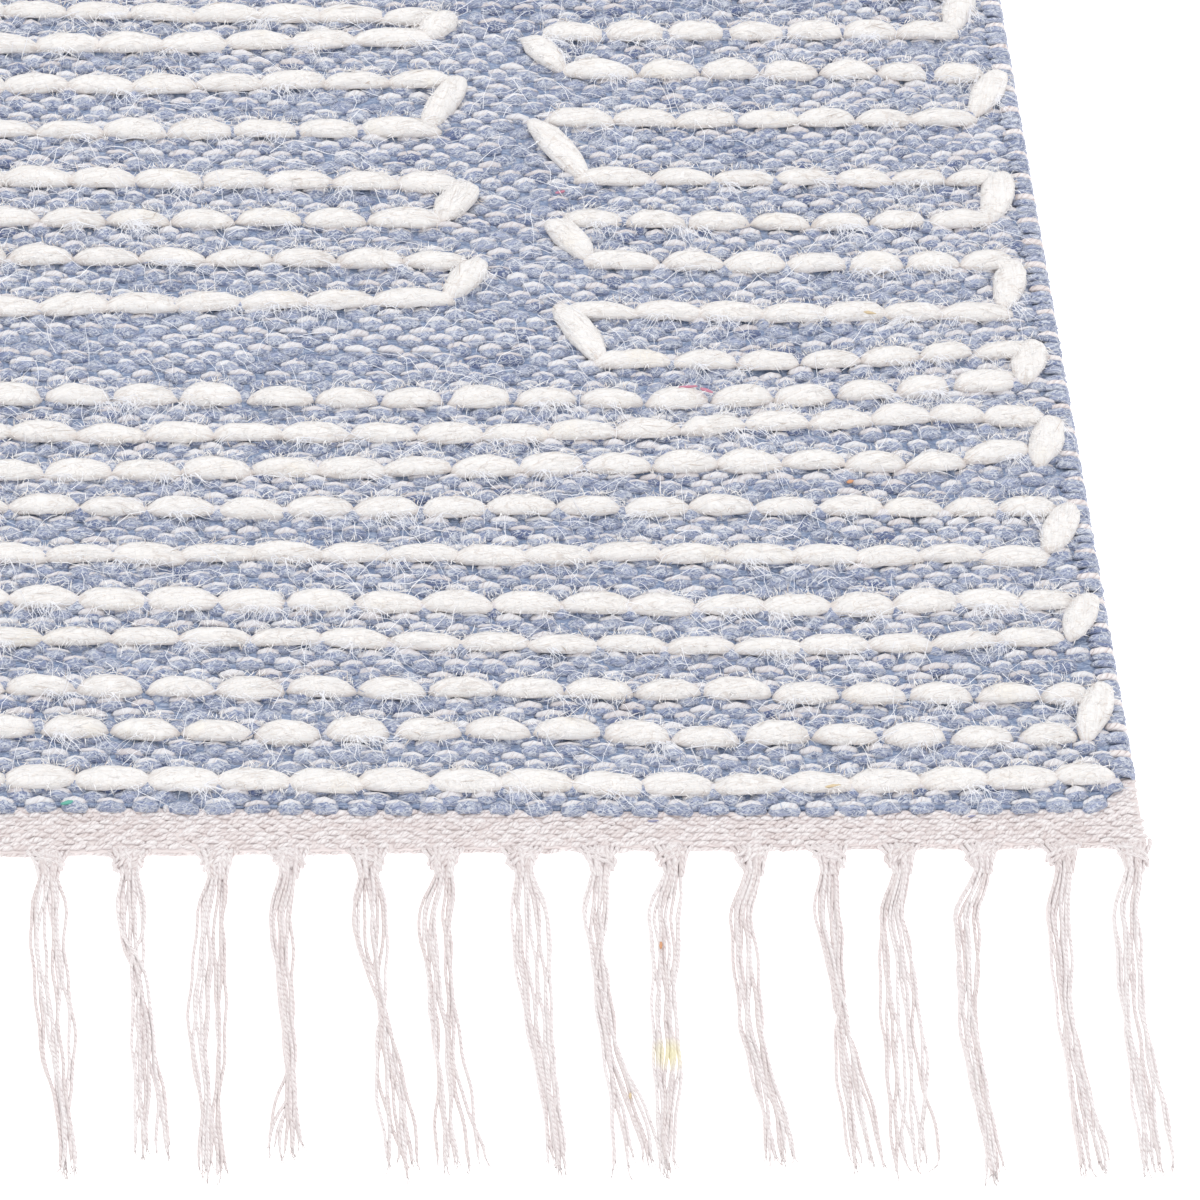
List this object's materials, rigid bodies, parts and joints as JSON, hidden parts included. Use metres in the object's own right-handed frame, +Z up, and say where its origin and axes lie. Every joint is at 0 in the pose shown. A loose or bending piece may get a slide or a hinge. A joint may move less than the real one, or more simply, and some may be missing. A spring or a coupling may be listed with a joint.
{
  "type": "flat-woven rug with raised wool rows and knotted fringe",
  "caption": "Flat-woven rug, blue wool ground with thick cream wool rows raised in serpentine blocks, cotton end bands and knotted cotton tassels at both ends.",
  "frame": {"origin": "centre of the underside of the rug as it lies flat", "axes": "+X across the rug, +Y along it from the near fringe to the far fringe, +Z up from the surface it lies on"},
  "size_m": [0.6124, 1.0737, 0.006],
  "materials": {
    "blue_wool": "matte woven wool",
    "cream_wool": "matte thick wool yarn",
    "cotton": "matte twisted cotton"
  },
  "bodies": {
    "root": {"rug_body": "blue_wool", "fringe_front": "cotton", "fringe_back": "cotton"}
  },
  "joints": []
}
